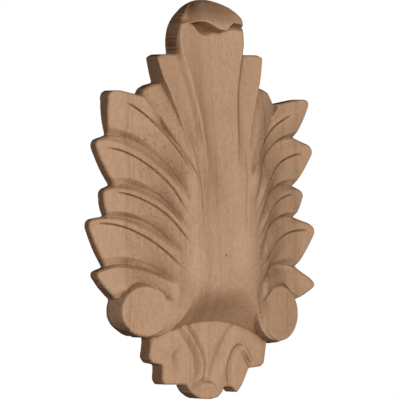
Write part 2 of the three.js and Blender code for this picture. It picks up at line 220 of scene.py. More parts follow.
# Relief of a leaf above the general slope, across its upper flank up to the cut, then across its blade.
# First near the stem, then near the edge, where the step down to the next leaf is short
FLANK_RELIEF = [(0, -1.1), (0.28, 0.5), (0.42, 1.3), (0.55, 1.7), (0.85, 1.9), (1, 1.9)]
BLADE_RELIEF = [
    (0, 1.9), (0.12, 1.6), (0.3, 1.3), (0.55, 0.5), (0.74, -0.7), (0.86, -1.9), (0.9, -2), (1, -1.1),
]
OUTER_FLANK = [(0, -1.7), (0.12, -1.4), (0.6, 0.6), (1, 1.2)]
OUTER_BLADE = [(0, 1.2), (0.4, 1.2), (0.79, 0.9), (0.97, -1.7), (1, -1.7)]
# Along a leaf, from the stem to the edge: where the outer relief takes over, where the relief starts,
# and how it weakens at the end
OUTER_SHARE = [(0.4, 0), (0.8, 1)]
RELIEF_START = [(0.12, 0), (0.42, 1)]
RELIEF_END = [(0.8, 1), (1, 0.7)]
# How far the edge of each leaf stands above the general slope, at the tip and at the valley
EDGE_LIFT = [(5, 0), (1, 1.6), (0.4, 1.6), (0.6, 1), (2.5, 3)]
EDGE_LIFT_START = [(0.6, 0), (1, 1)]
# Where the cut in each leaf starts and ends along its vein, and the lengths over which it deepens and
# runs out. The lowest leaf has none
CUT_REACH = [(0.22, 0.92), (0.12, 0.96), (0.08, 0.94), (0.1, 0.97)]
CUT_FADE = (0.2, 0.12)
CUT_DEPTH = 1.25
CUT_HALF_WIDTH = 0.5

# The volutes at the foot of the stem: a tilted disc on a boss. The boss's wall is a little hollow, and
# spreads by the flare's value above the disc and by the foot's below it
VOLUTE = {
    "x": 34.9, "radius": 10.4, "height": 13.9, "tilt": 0.28, "dome": 0.3,
    "middle": {"left": -50, "right": -51.4}, "radius_z": {"left": 11, "right": 12},
    "back_x": 33.4, "back_radius": 13.8, "foot": {"left": -0.6, "right": 1.4}, "foot_height": 1,
    "flare": 7.5, "hollow": 1.15,
}
# The band that winds onto the disc. Its lines start on the stem's rim and end under the disc
SCROLL_LINES = {
    "left": [
        [(16, -30, 24.6), (15, -41, 23), (16, -50, 18.6), (20.4, -56.4, 15.6), (26.4, -60.4, 14),
         (34.4, -61.6, 13.2)],
        [(19, -30, 22.6), (19.4, -39, 20.2), (20.4, -48.4, 18), (23.8, -55, 16.5), (28.4, -58.8, 15.2),
         (34.4, -60.6, 13.6)],
        [(23, -30, 18.8), (24.6, -38, 16.6), (28, -47.5, 15.7), (29, -52.6, 15.4), (31, -56, 14.8),
         (35, -58, 13.7)],
    ],
    "right": [
        [(16, -30, 24.6), (17, -41, 22.6), (19.4, -50, 19.2), (22.4, -57, 16.6), (27, -62, 14.8),
         (34.4, -64.4, 13.2)],
        [(19, -30, 22.6), (20.4, -40, 20.2), (21.8, -49, 18.2), (24.6, -55.6, 16.4), (28.8, -60.2, 15.2),
         (34.4, -62.8, 13.4)],
        [(23, -30, 18.8), (24.4, -39, 16.8), (27.6, -49, 15.8), (29, -54, 15.4), (31.4, -57.4, 14.7),
         (35, -59.6, 13.7)],
    ],
}

# The tail leaf: veins start under the roll and end on the edge. Rows are
# (share of its breadth, start distance, start z, sideways bow, edge distance, edge z).
# They bow between these shares of their way
TAIL_PULL = (0.3, 0.65)
TAIL_VEINS = {
    "left": [
        (0, 0, -50, 0, 0, -89.2), (0.26, 12.6, -53, -7.6, 5, -88.8), (0.3, 14.4, -53, -8.1, 6.8, -88),
        (0.36, 16, -53, -8.2, 9.6, -86), (0.42, 17.5, -53, -8.2, 11, -84),
        (0.45, 18.4, -54, -7.6, 11.4, -82.6), (0.62, 23, -56, -4, 22.6, -82.4),
        (0.68, 24.2, -57, -3, 23.9, -80.4), (0.8, 26.5, -60, -1.5, 23.6, -73.6),
        (0.84, 27.2, -60, -1, 28.4, -72.8), (0.9, 28.4, -60, 0, 30.2, -70.2), (1, 30, -60, 0, 28.6, -63),
    ],
    "right": [
        (0, 0, -50, 0, 0, -89.2), (0.3, 13, -53, -3.6, 4.4, -88.2), (0.36, 15, -53, -3.2, 6.6, -86),
        (0.42, 17, -53, -2.8, 7.4, -83.6), (0.5, 20, -54, -2, 12, -83.8), (0.54, 21, -55, -2, 14.2, -86.6),
        (0.6, 22.6, -55, -1.5, 17, -83), (0.72, 25.4, -57, -1, 20.6, -75.6),
        (0.84, 28, -60, -0.5, 27.4, -74.8), (0.9, 29, -60, 0, 29, -73), (1, 31, -60, 0, 30.6, -63),
    ],
}
TAIL_HEIGHT = 10.8
TAIL_SIDE_FALL = 2.4

# Marks on the tail, as lines of (x, z, width, height): grooves go below the surface, ribs above it.
# Each is worked out this far around its line
MARK_REACH = 7
TAIL_MARKS = [
    [(-11.6, -55.5, 0.7, -0.8), (-7.4, -61.5, 0.8, -1.3), (-3.6, -69, 0.9, -1.4),
     (-2.4, -76, 0.8, -1.2), (-3.4, -83.5, 0.6, 0)],
    [(-13.4, -57, 0.8, 0.5), (-9, -62.5, 0.8, 0.9), (-5.2, -69, 0.9, 1), (-4.2, -76.5, 0.8, 0.9),
     (-6, -84, 0.7, 0)],
    [(-15.2, -58, 0.7, -0.8), (-11.4, -63, 0.8, -1.2), (-7.6, -69.5, 0.8, -1.2), (-6.6, -77, 0.8, -1),
     (-8.8, -84, 0.6, -0.3)],
    [(11, -57.6, 1.4, -0.9), (8.2, -62.5, 2, -1.5), (5, -68.5, 2.3, -1.6), (2, -75, 2, -1.2),
     (-1, -82, 1.4, -0.4)],
    [(12.4, -64, 2.2, 0.5), (9.4, -69, 2.4, 0.8), (6, -77, 2.2, 0.6), (5, -83, 1.8, 0.2)],
    [(18.4, -66.4, 1, -0.6), (14.6, -66, 1.1, -1.4), (11.6, -69.6, 1.2, -1.9), (10.2, -76, 1.3, -1.9),
     (10.6, -83, 1.2, -1.5)],
    [(15.4, -63.4, 1.4, 0.4), (18.2, -66.6, 0.9, 0.9), (20.4, -70.6, 0.8, 0.8), (24, -73.6, 0.7, 0)],
    [(17.4, -68.6, 0.9, -0.7), (19.4, -71.8, 0.9, -1.3), (21.4, -74.6, 0.8, -1)],
    [(-18.6, -69, 1.8, -0.3), (-16.4, -70.4, 2.2, -1), (-15.2, -74, 2.4, -1), (-17, -79, 2, 0)],
    [(-20.6, -72.2, 1.4, 0.3), (-20.2, -68.8, 1.5, 0.8), (-17.2, -65.6, 1.5, 0.7), (-13.8, -65.2, 1.4, 0)],
    [(-9.4, -84.6, 0.8, 0), (-6.6, -82.6, 0.9, -1), (-3.4, -80.6, 0.9, -0.9), (0.6, -81, 0.9, -0.6),
     (3.6, -84, 0.9, 0)],
    [(-6.4, -86.4, 1, 0), (-3.4, -83.4, 1.1, 0.6), (0.4, -83, 1.2, 0.7), (3.6, -86, 1, 0)],
]

# Sanding: how many cells the forms and the outline are softened by, how far the front's edge is rounded
# down, and the cover of a cell below which it is rounded all the way
FORM_SOFTENING = 1.2
OUTLINE_SOFTENING = 2.4
EDGE_ROUNDING = 1.5
EDGE_COVER = 0.1

# The mesh: how close to a net point the outline may cross, the shortest outline that is kept,
# the rings of the walls as shares of the front's height, and where shading turns sharp
LEAST_CROSSING = 0.08
SHORTEST_OUTLINE = 40
WALL_RINGS = (0.94, 0.5, 0.0)
SHARP_ANGLE = 50
MOST_TRIANGLES = 190000

# The wood's colours, and how strongly each layer darkens or lightens it
WOOD_LIGHT = (0.425, 0.267, 0.167, 1)
WOOD_DARK = (0.16, 0.078, 0.03, 1)
DARKENING = {
    "growth lines": 0.2, "fibres": 0.1, "mottle": 0.17, "pores": 0.4, "sparse pores": 0.18, "pin knots": 0.6,
    # The darkening in the hollows and on the side walls is painted shade
    "painted hollow shade": 0.38, "tone": 0.14, "lean": 0.1, "end grain": 0.27, "painted wall shade": 0.16, "crests": -0.08,
    # Two of the soft patches are painted shade
    "pale side": -0.06, "tone and shade patches": 1.0,
}

# The grain's texture: sizes in millimetres along x, y and z
TONE_SIZE = (22, 22, 60)
FIBRE_SIZE = (0.9, 0.9, 9)
MOTTLE_SIZE = (1.5, 1.5, 2.2)
PORE_SIZE = (1.1, 1.1, 1.5)
SPARSE_PORE_SIZE = (2.2, 2.2, 5)
PORE_FIELD_SIZE = (7, 7, 10)
# How far the dashes of the pores are bent out of line, in cells
PORE_BEND = 1.6

# Growth rings: their width, and how their lines lean with depth and wander upwards.
# The wandering moves them by half its size on average
RING_WIDTH = 9.0
RING_LEAN = -0.2
RING_WANDER = 5.0
RING_WANDER_SIZE = (70, 70, 40)
RING_SHIFT = RING_WANDER / 2
# Growth lines that stand out: (distance from the middle, width, strength)
GROWTH_LINES = [
    (-39.4, 1.2, 0.7), (-37.2, 0.5, 0.6), (-33.6, 0.4, 0.4), (-16.5, 0.6, 0.6), (-8, 0.7, 0.8),
    (-3, 0.5, 0.4), (1.6, 0.6, 0.6), (6.4, 0.5, 0.4), (29, 0.6, 0.6), (41, 0.8, 0.6),
]
# The wood is paler left of the first of these, and has its usual tone right of the second
PALE_EDGE = (-43, -38)
# Pin knots, as (x, height, z, radius)
PIN_KNOTS = [(-3.8, 11.5, 66.2, 0.9), (-0.2, 25, -25, 0.9), (-10.9, 24.7, -10.3, 0.7), (11.4, 20, 22.8, 0.7)]
# Soft patches of wood tone, and of painted shade on the roll and above the left volute: (x, z, reach in x,
# reach in z, how much darker)
TONE_AND_SHADE_PATCHES = [
    (-5, 6, 10, 22, 0.14), (9.5, -22, 9, 16, -0.14), (-13, -28, 7, 12, -0.1), (0, -47, 20, 9, 0.16),
    (-14.5, 26, 6, 15, 0.14), (-37, -34, 14, 7, 0.16),
]

# Where the smooth stem ends and the carved leaves begin, from the middle
STEM_REACH = (15, 20)
# How far the normal points aside or up, from 0 to 1, where a surface starts to count as leaning,
# as a side wall that gets painted shade, or as end grain, and where it does so fully
LEANING = (0.12, 0.45)
WALL_SHADE = (0.6, 0.95)
END_GRAIN = (0.25, 0.85)

# Painted shade in the hollows: cells around a place that count, and the depth below them that is darkest.
# It lies on the carved front only, where the normal's y is below this, and is darker in the eyes
HOLLOW_SHADE_REACH = 5.0
HOLLOW_SHADE_DEPTH = 0.9
FRONT_NORMAL = -0.25
EYES_FROM_Z = 71
EYE_SHADE = 1.9

# The studio, in metres, degrees and watts
VIEW_AZIMUTH = -30
KEY_LIGHT = {"azimuth": -15, "elevation": 3, "distance": 2.5, "size": 0.5, "power": 71}
FLOOR_HALF = 0.7
FLOOR_LEVEL = -0.13
FLOOR_COLOUR = (0.8, 0.8, 0.8, 1)
BACKGROUND = (1, 1, 1, 1)
GLOW = (0.036, 0.009, 0.0, 1)


def ease(value):
    """Rises softly from 0 at 0 to 1 at 1."""
    t = np.clip(value, 0, 1)
    return t * t * (3 - 2 * t)


def blend(stops, place):
    """Goes softly from the value of the first stop to that of the second."""
    (start, first), (end, last) = stops
    return first + (last - first) * ease((place - start) / (end - start))


def stepped(stops, place, value=1):
    """Goes straight from stop to stop."""
    return np.interp(place, [stop[0] for stop in stops], [stop[value] for stop in stops])


def along(stops, place):
    """A smooth curve through the stops, flat beyond both ends."""
    x = np.array([stop[0] for stop in stops], float)
    y = np.array([stop[1] for stop in stops], float)
    place = np.clip(np.asarray(place, float), x[0], x[-1])
    slope = np.empty(len(x))
    slope[1:-1] = (y[2:] - y[:-2]) / (x[2:] - x[:-2])
    slope[0] = (y[1] - y[0]) / (x[1] - x[0])
    slope[-1] = (y[-1] - y[-2]) / (x[-1] - x[-2])
    i = np.clip(np.searchsorted(x, place) - 1, 0, len(x) - 2)
    step = x[i + 1] - x[i]
    t = (place - x[i]) / step
    return (
        (2 * t**3 - 3 * t**2 + 1) * y[i]
        + (t**3 - 2 * t**2 + t) * step * slope[i]
        + (3 * t**2 - 2 * t**3) * y[i + 1]
        + (t**3 - t**2) * step * slope[i + 1]
    )


def bezier(points, t):
    a, b, c, d = points
    return (1 - t) ** 3 * a + 3 * (1 - t) ** 2 * t * b + 3 * (1 - t) * t**2 * c + t**3 * d


def vein(start, leave, end, arrive, t):
    """Points at t on a curve with given ends and directions (degrees). All may be arrays."""
    pull = VEIN_PULL * np.hypot(end[0] - start[0], end[1] - start[1])
    a = np.radians(leave)
    b = np.radians(arrive)
    x = bezier((start[0], start[0] + pull * np.cos(a), end[0] - pull * np.cos(b), end[0]), t)
    z = bezier((start[1], start[1] + pull * np.sin(a), end[1] - pull * np.sin(b), end[1]), t)
    return x, z


def shares(count):
    return np.linspace(0, 1, count)


def crossed_shares(form):
    """Two crossing sets of shares from 0 to 1, as close together as the form needs."""
    first, second = POINTS[form]
    return np.meshgrid(shares(first), shares(second), indexing="ij")


def course(line, t):
    """A smooth course through the points of a line, at t from 0 to 1: distance, z, height."""
    place = t * (len(line) - 1)
    return [along([(i, point[k]) for i, point in enumerate(line)], place) for k in range(3)]


def centres():
    """The middles of all cells."""
    x = MAP_LOW[0] + (np.arange(MAP_SIZE[0]) + 0.5) * CELL
    z = MAP_LOW[1] + (np.arange(MAP_SIZE[1]) + 0.5) * CELL
    return np.meshgrid(x, z)


def cell_at(x, z):
    """The row and column of the cell at each place, or of the nearest cell on the map."""
    col = np.clip((x - MAP_LOW[0]) / CELL, 0, MAP_SIZE[0] - 1).astype(int)
    row = np.clip((z - MAP_LOW[1]) / CELL, 0, MAP_SIZE[1] - 1).astype(int)
    return row, col


def cells_near(middle, reach, axis):
    """The cells within reach of a place, along x (axis 0) or z (axis 1)."""
    ends = [int((middle + offset - MAP_LOW[axis]) / CELL) for offset in (-reach, reach)]
    return slice(*np.clip(ends, 0, MAP_SIZE[axis]))


class HeightMap:
    """Heights on a fine grid of cells. A cell without wood is empty (nan)."""

    def __init__(self):
        self.height = np.full((MAP_SIZE[1], MAP_SIZE[0]), np.nan)

    def press(self, x, z, height):
        """Adds a form given by many points. Where forms overlap, the higher one shows."""
        col = np.floor((x.ravel() - MAP_LOW[0]) / CELL).astype(int)
        row = np.floor((z.ravel() - MAP_LOW[1]) / CELL).astype(int)
        inside = (col >= 0) & (col < MAP_SIZE[0]) & (row >= 0) & (row < MAP_SIZE[1])
        flat = row[inside] * MAP_SIZE[0] + col[inside]
        weight = np.bincount(flat, minlength=self.height.size)
        mean = np.bincount(flat, weights=height.ravel()[inside], minlength=self.height.size)
        with np.errstate(invalid="ignore", divide="ignore"):
            mean = (mean / weight).reshape(self.height.shape)
        self.height = np.fmax(self.height, mean)

    def gouge(self, x, z, depth, half_width):
        """Cuts a V along a line of points. Its depth may change along the line."""
        cut = np.zeros(self.height.shape)
        reach = int(half_width / CELL) + 2
        for px, pz, deep in zip(x, z, depth):
            if deep <= 0:
                continue
            col = (px - MAP_LOW[0]) / CELL - 0.5
            row = (pz - MAP_LOW[1]) / CELL - 0.5
            window = tuple(slice(int(place) - reach, int(place) + reach + 2) for place in (row, col))
            near_row, near_col = np.mgrid[window]
            distance = np.hypot(near_col - col, near_row - row) * CELL
            cut[window] = np.maximum(cut[window], deep * np.clip(1 - distance / half_width, 0, 1))
        self.height = self.height - cut


def stem_height(x, z):
    """The flute between its rims, and the shelf from there out to where the leaves start."""
    z = z + ROLL_ARCH * x**2 * ease((ROLL_START_Z - z) / (ROLL_START_Z - ROLL_FULL_Z))
    rim = along(FLUTE_RIM, z)
    top = along(FLUTE_HEIGHT, z)
    inside = top - along(FLUTE_DEPTH, z) * np.clip(1 - (x / rim) ** 2, 0, 1) ** blend(FLUTE_SOFTNESS, z)
    share = np.clip((np.abs(x) - rim) / np.maximum(along(LEAF_RIM, z) - rim, SHELF_LEAST_WIDTH), 0, 1)
    shelf = top + share * blend(SHELF_RISE, z) * (along(LEAF_RIM_HEIGHT, z) - top)
    return np.where(np.abs(x) < rim, inside, shelf)


def leaf_slope(x, z):
    """The general fall of the leaves from the stem to the edge, without their relief."""
    rim = along(LEAF_RIM, z)
    share = (np.abs(x) - rim) / (LEAF_REACH - rim)
    free = blend(SLOPE_INSIDE_RIM, z) * np.maximum(0, rim - np.abs(x))
    return free + EDGE_HEIGHT + (along(LEAF_RIM_HEIGHT, z) - EDGE_HEIGHT) * along(LEAF_FALL, share)


def edge_point(upper, corner, lower, share):
    """The leaf's outline: from the upper valley to the rounded tip, then down to the lower valley."""
    first, last = TIP_SHARES
    rise = np.clip(share / first, 0, 1)
    turn = np.clip((share - first) / (last - first), 0, 1)
    fall = np.clip((share - last) / (1 - last), 0, 1)
    out = []
    for k in (0, 1):
        a = upper[k] + (corner[k] - upper[k]) * (1 - TIP_ROUNDING[0])
        b = corner[k] + (lower[k] - corner[k]) * TIP_ROUNDING[1]
        before = upper[k] + (a - upper[k]) * rise
        nose = (1 - turn) ** 2 * a + 2 * (1 - turn) * turn * corner[k] + turn**2 * b
        after = b + (lower[k] - b) * fall
        out.append(np.where(share < first, before, np.where(share < last, nose, after)))
    return out[0] + EDGE_BULGE * np.sin(np.pi * fall), out[1]


def leaf_vein(k, side, share, u):
    """Points at u on the veins of leaf k, at these shares of its breadth."""
    corner, lower, cut = LEAVES[side][k]
    upper = [TOP_CORNER[side], *(valley for _, valley, _ in LEAVES[side])][k]
    knots = (0, cut, 1)
    x, z, leave, arrive = (np.interp(share, knots, value) for value in zip(FEET[k], CUTS[k], FEET[k + 1]))
    return vein((x, z), leave, edge_point(upper, corner, lower, share), arrive, u)


def press_leaves(field, side):
    """Presses the relief of the leaves, as heights above or below the general slope."""
    share, u = crossed_shares("leaf")
    for k, (_, _, cut) in enumerate(LEAVES[side]):
        x, z = leaf_vein(k, side, share, u)
        flank, blade = share / cut, (share - cut) / (1 - cut)
        inner = np.where(share < cut, stepped(FLANK_RELIEF, flank), stepped(BLADE_RELIEF, blade))
        outer = np.where(share < cut, stepped(OUTER_FLANK, flank), stepped(OUTER_BLADE, blade))
        relief = inner + (outer - inner) * blend(OUTER_SHARE, u)
        strength = blend(RELIEF_START, u) * blend(RELIEF_END, u)
        tip, valley = EDGE_LIFT[k]
        lift = (tip + (valley - tip) * share) * blend(EDGE_LIFT_START, u)
        field.press(SIDES[side] * x, z, strength * relief + lift)


def cut_veins(field, side):
    """Cuts a V down each leaf that has one."""
    u = shares(POINTS["cut"])
    deepens, runs_out = CUT_FADE
    for k, (start, end) in enumerate(CUT_REACH):
        _, _, cut = LEAVES[side][k]
        x, z = leaf_vein(k, side, cut, u)
        depth = CUT_DEPTH * ease((u - start) / deepens) * ease((end - u) / runs_out)
        field.gouge(SIDES[side] * x, z, depth, CUT_HALF_WIDTH)


def cut_stem_groove(field, side):
    x, z, depth = course(STEM_GROOVE, shares(POINTS["groove"]))
    field.gouge(SIDES[side] * x, z, depth, STEM_GROOVE_HALF_WIDTH)


def lay_lines(field, side, lines, melts=False):
    """Lays the surface between neighbouring lines over the wood. It grows out of the wood at their feet
    and, where it melts, also runs into it at the last line."""
    t, across = crossed_shares("layer")
    layer = HeightMap()
    for near, far in zip(lines, lines[1:]):
        x, z, height = (a + (b - a) * across for a, b in zip(course(near, t), course(far, t)))
        keep = ease(t / LAYER_GROWN)
        if melts and far is lines[-1]:
            keep = keep * (1 - ease(across))
        x = SIDES[side] * x
        base = field.height[cell_at(x, z)]
        base = np.where(np.isnan(base), height, base)
        layer.press(x, z, base + (height - base) * keep)
    field.height = np.where(np.isnan(layer.height), field.height, layer.height)


def ear_lines(side):
    """The lines of the ear, with what differs on this side."""
    lines = []
    for k, line in enumerate(EAR_LINES):
        rise = EAR_RISE[side] * k
        line = [(x, z, height + rise * min(i, EAR_RISE_POINTS)) for i, (x, z, height) in enumerate(line)]
        x, z, height = line.pop()
        lines.append(line + [(x, z - EAR_DROP[side], height)])
    return lines + EAR_OVERLAP[side]


def press_neck(field, t, across):
    """The top of the stem under the cap, rounded down to its side walls."""
    z = CAP_FOOT_Z + (CAP_NECK_Z - CAP_FOOT_Z) * t
    half = along(CAP_HALF_WIDTH, z)
    x = across * half
    rim = np.minimum(along(FLUTE_RIM, z), half - blend(NECK_INSET, z))
    past = np.clip((np.abs(x) - rim) / (half - rim), 0, 1)
    edge = along(CAP_EDGE, z)
    field.press(x, z, edge + (stem_height(x, z) - edge) * np.sqrt(1 - past**2))


def press_dome(field, t, across, brow):
    """The dome above the brow. Gives the height of its lip, along the brow."""
    z = brow + (CAP_TOP_Z - brow) * t**CAP_ROW_POWER
    x = across * along(CAP_HALF_WIDTH, z)
    edge = along(CAP_EDGE, z) + np.where(across < 0, *CAP_LEAN) * across * blend(CAP_LEAN_START, z)
    front = edge + (along(CAP_CROWN, z) - edge) * (1 - np.abs(across) ** blend(CAP_SQUARENESS, z)) ** 0.5
    below = stem_height(x[0], brow[0])
    low_and_high = np.minimum(below, front[0]), np.maximum(below, front[0])
    lip = blend(list(zip(LIP_TURN_X, low_and_high)), x[0])
    field.press(x, z, front + lip - front[0])
    return lip


def press_eyes(field, t, across, brow, lip):
    """The two hollows under the brow, which slope in towards it and turn up to its lip."""
    floor = stepped(EYE_FLOOR, across * BROW_HALF_WIDTH)
    opening = brow - floor
    z = floor + opening * t
    x = across * along(CAP_HALF_WIDTH, brow)
    low = np.minimum(stem_height(x, floor), lip)
    dip = stepped(EYE_DEPTH, across * BROW_HALF_WIDTH) * opening * np.clip(t / EYE_TURN, 0, 1)
    hollow = low - dip + (lip - low + dip) * ease((t - EYE_TURN) / (1 - EYE_TURN))
    row, col = cell_at(x, z)
    open_here = opening > EYE_LEAST_OPENING
    field.height[row[open_here], col[open_here]] = hollow[open_here]


def press_cap(field):
    t, across = crossed_shares("cap")
    across = across * 2 - 1
    brow = stepped(BROW, across * BROW_HALF_WIDTH)
    press_neck(field, t, across)
    lip = press_dome(field, t, across, brow)
    press_eyes(field, t, across, brow, lip)


def press_volute(field, side):
    """Presses the disc, and the flared wall from its rim to the back."""
    sign = SIDES[side]
    turn, out = crossed_shares("volute")
    turn = turn * 2 * np.pi
    middle_x, radius = VOLUTE["x"], VOLUTE["radius"]
    middle_z, radius_z = VOLUTE["middle"][side], VOLUTE["radius_z"][side]

    def level(x, radial):
        return VOLUTE["height"] - VOLUTE["tilt"] * (x - middle_x) + VOLUTE["dome"] * (1 - radial**2)

    x = middle_x + out * radius * np.cos(turn)
    z = middle_z + out * radius_z * np.sin(turn)
    field.press(sign * x, z, level(x, out))
    rim_x = middle_x + radius * np.cos(turn)
    back_x = VOLUTE["back_x"] + VOLUTE["back_radius"] * np.cos(turn)
    flare_x = rim_x + (back_x - rim_x) * out
    flare = np.where(np.sin(turn) < 0, VOLUTE["foot"][side], VOLUTE["flare"] * np.sin(turn))
    flare_z = middle_z + (radius_z + flare * out) * np.sin(turn)
    drop = (level(rim_x, 1) - VOLUTE["foot_height"]) * out ** VOLUTE["hollow"]
    field.press(sign * flare_x, flare_z, level(rim_x, 1) - drop)


def press_tail(field, side):
    """Presses the tail leaf, a little lower towards its side."""
    share, u = crossed_shares("tail")
    start_x, start_z, bow, edge_x, edge_z = (stepped(TAIL_VEINS[side], share, k) for k in range(1, 6))
    span_x = edge_x - start_x
    span_z = edge_z - start_z
    near, far = TAIL_PULL
    x = bezier((start_x, start_x + span_x * near + bow, start_x + span_x * far + bow, edge_x), u)
    z = bezier((start_z, start_z + span_z * near, start_z + span_z * far, edge_z), u)
    field.press(SIDES[side] * x, z, TAIL_HEIGHT - TAIL_SIDE_FALL * share**2)


def mark_tail():
    """The height that the ribs and grooves add to the tail, softly rounded across their lines."""
    x, z = centres()
    added = np.zeros(x.shape)
    for line in TAIL_MARKS:
        stops = [[(k, point[i]) for k, point in enumerate(line)] for i in range(4)]
        nearest = np.full(x.shape, np.inf)
        lift = np.zeros(x.shape)
        for place in shares(POINTS["mark"]) * (len(line) - 1):
            px, pz, width, height = (float(along(stop, place)) for stop in stops)
            window = (cells_near(pz, MARK_REACH, 1), cells_near(px, MARK_REACH, 0))
            distance = np.hypot(x[window] - px, z[window] - pz)
            closer = distance < nearest[window]
            nearest[window] = np.where(closer, distance, nearest[window])
            value = height * np.exp(-((distance / width) ** 2))
            lift[window] = np.where(closer, value, lift[window])
        added += lift
    return added


def gauss(values, sigma):
    """Blurs rows and columns with a bell curve of sigma cells."""
    reach = max(1, int(3 * sigma + 0.5))
    kernel = np.exp(-0.5 * (np.arange(-reach, reach + 1) / sigma) ** 2)
    kernel /= kernel.sum()
    for axis in (0, 1):
        padded = np.pad(values, [(reach, reach) if a == axis else (0, 0) for a in (0, 1)], mode="edge")
        size = values.shape[axis]
        values = sum(k * np.take(padded, range(i, i + size), axis=axis) for i, k in enumerate(kernel))
    return values


def softened(height, sigma):
    """Blurs heights without smearing over the outline. Gives which cells hold wood, and the heights."""
    wood = ~np.isnan(height)
    weight = gauss(wood.astype(float), sigma)
    return wood, gauss(np.where(wood, height, 0), sigma) / np.maximum(weight, TINY)


def soft_min(a, b, rounding):
    """The lower of two surfaces, with a rounded ridge where they cross."""
    share = np.clip(0.5 + 0.5 * (b - a) / rounding, 0, 1)
    return b * (1 - share) + a * share - rounding * share * (1 - share)


def carve():
    """Presses every form into one height map."""
    relief = HeightMap()
    for side in SIDES:
        press_leaves(relief, side)
    x, z = centres()
    base = soft_min(stem_height(x, z), leaf_slope(x, z), along(RIM_ROUNDING, z))
    beyond_rim = STEM_MARGIN + (x > 0) * blend(ROLL_REACH, z)
    stem = (np.abs(x) < along(FLUTE_RIM, z) + beyond_rim) & (z > ROLL_END_Z) & (z < STEM_TOP_Z)
    shelf = (np.abs(x) < along(LEAF_RIM, z) + SHELF_MARGIN) & (z > ROLL_END_Z) & (z < SHELF_TOP_Z)
    field = HeightMap()
    leaves = base + relief.height
    field.height = np.where(np.isnan(leaves), np.where(stem | shelf, base, np.nan), leaves)
    for side in SIDES:
        lay_lines(field, side, ear_lines(side))
        lay_lines(field, side, SHOULDER_LINES)
        lay_lines(field, side, SCROLL_LINES[side], melts=True)
    press_cap(field)
    tail = HeightMap()
    for side in SIDES:
        press_volute(field, side)
        press_tail(tail, side)
    field.height = np.fmax(field.height, tail.height + mark_tail())
    return field


def net_mesh(wood, height):
    """The carved front as a sheet: its points, its faces, and the pairs of points along its outline."""
    cover = gauss(wood.astype(float), OUTLINE_SOFTENING)
    level = height - EDGE_ROUNDING * (1 - ease(cover * (1 + EDGE_COVER) - EDGE_COVER))
    net_x, net_z = centres()
    inside = cover >= 0.5
    number = np.full(cover.shape, -1)
    number[inside] = np.arange(inside.sum())
    points = [np.stack([net_x[inside], net_z[inside], level[inside]], 1)]
    count = int(inside.sum())

    def crossings(a, b):
        """Points where the outline crosses the net lines from a to b."""
        nonlocal count
        crosses = inside[a] != inside[b]
        share = (0.5 - cover[a]) / np.where(crosses, cover[b] - cover[a], 1)
        share = np.clip(share, LEAST_CROSSING, 1 - LEAST_CROSSING)
        ids = np.full(crosses.shape, -1)
        ids[crosses] = count + np.arange(crosses.sum())
        count += int(crosses.sum())
        px = net_x[a] + (net_x[b] - net_x[a]) * share
        pz = net_z[a] + (net_z[b] - net_z[a]) * share
        ph = np.where(inside[a], level[a], level[b])
        points.append(np.stack([px[crosses], pz[crosses], ph[crosses]], 1))
        return ids

    along_x = crossings(np.s_[:, :-1], np.s_[:, 1:])
    along_z = crossings(np.s_[:-1, :], np.s_[1:, :])
    corner = [number[:-1, :-1], number[:-1, 1:], number[1:, 1:], number[1:, :-1]]
    edge = [along_x[:-1], along_z[:, 1:], along_x[1:], along_z[:, :-1]]
    # Each of the net's squares has one of 16 cases, by which of its corners are inside
    code = sum((corner[k] >= 0).astype(int) << k for k in range(4))
    faces = []
    rim = []
    for case in range(1, 16):
        cells = code == case
        ring = []
        leaving = []
        for k in range(4):
            here, after = case >> k & 1, case >> (k + 1) % 4 & 1
            if here:
                ring.append(corner[k][cells])
            if here and not after:
                leaving.append(len(ring))
            if here != after:
                ring.append(edge[k][cells])
        faces.append(np.stack(ring, 1))
        for k in leaving:
            rim.append(np.stack([ring[k], ring[(k + 1) % len(ring)]], 1))
    return np.concatenate(points), faces, np.concatenate(rim)


def outlines(rim):
    """Joins the pairs of points along the outline to closed loops, and leaves out stray crumbs."""
    after = dict(rim.tolist())
    loops = []
    while after:
        first, here = after.popitem()
        loop = [first]
        while here != first:
            loop.append(here)
            here = after.pop(here)
        loops.append(loop)
    return [np.array(loop) for loop in loops if len(loop) > SHORTEST_OUTLINE]


def close_body(points, faces, rim):
    """Adds the walls and the back under the front sheet, and gives vertices in metres."""
    front = np.stack([points[:, 0], -points[:, 2], points[:, 1]], 1)
    verts = [front]
    count = len(front)
    polygons = [face for group in faces for face in group.tolist()]
    for ring in outlines(rim):
        above = ring
        for share in WALL_RINGS:
            level = front[ring].copy()
            level[:, 1] *= share
            verts.append(level)
            below = count + np.arange(len(ring))
            count += len(ring)
            quads = np.stack([above, below, np.roll(below, -1), np.roll(above, -1)], 1)
            polygons.extend(quads.tolist())
            above = below
        polygons.append(above.tolist())
    return np.concatenate(verts) * MM, polygons


def thin_out(piece):
    """Takes out the points that flat places don't need, so that the mesh stays within its limit."""
    triangles = sum(len(face.vertices) - 2 for face in piece.data.polygons)
    thinner = piece.modifiers.new("thinner", "DECIMATE")
    thinner.ratio = min(1, MOST_TRIANGLES / triangles)
    thinner.use_collapse_triangulate = True
    bpy.context.view_layer.update()
    shown = piece.evaluated_get(bpy.context.evaluated_depsgraph_get())
    piece.data = bpy.data.meshes.new_from_object(shown)
    piece.modifiers.clear()
    piece.data.shade_smooth()
    piece.data.set_sharp_from_angle(angle=math.radians(SHARP_ANGLE))


def new_material(name):
    """A material, and a function that adds a node to it with its inputs linked or set."""
    material = bpy.data.materials.new(name)
    material.use_nodes = True
    nodes, links = material.node_tree.nodes, material.node_tree.links

    def node(kind, inputs=(), **settings):
        made = nodes.new("ShaderNode" + kind)
        for key, value in settings.items():
            setattr(made, key, value)
        for key, value in dict(inputs).items():
            if isinstance(value, bpy.types.NodeSocket):
                links.new(value, made.inputs[key])
            else:
                made.inputs[key].default_value = value
        return made

    return material, node


def math_node(node, operation, a, b):
    return node("Math", {0: a, 1: b}, operation=operation).outputs[0]


def without_sign(node, value):
    return node("Math", {0: value}, operation="ABSOLUTE").outputs[0]


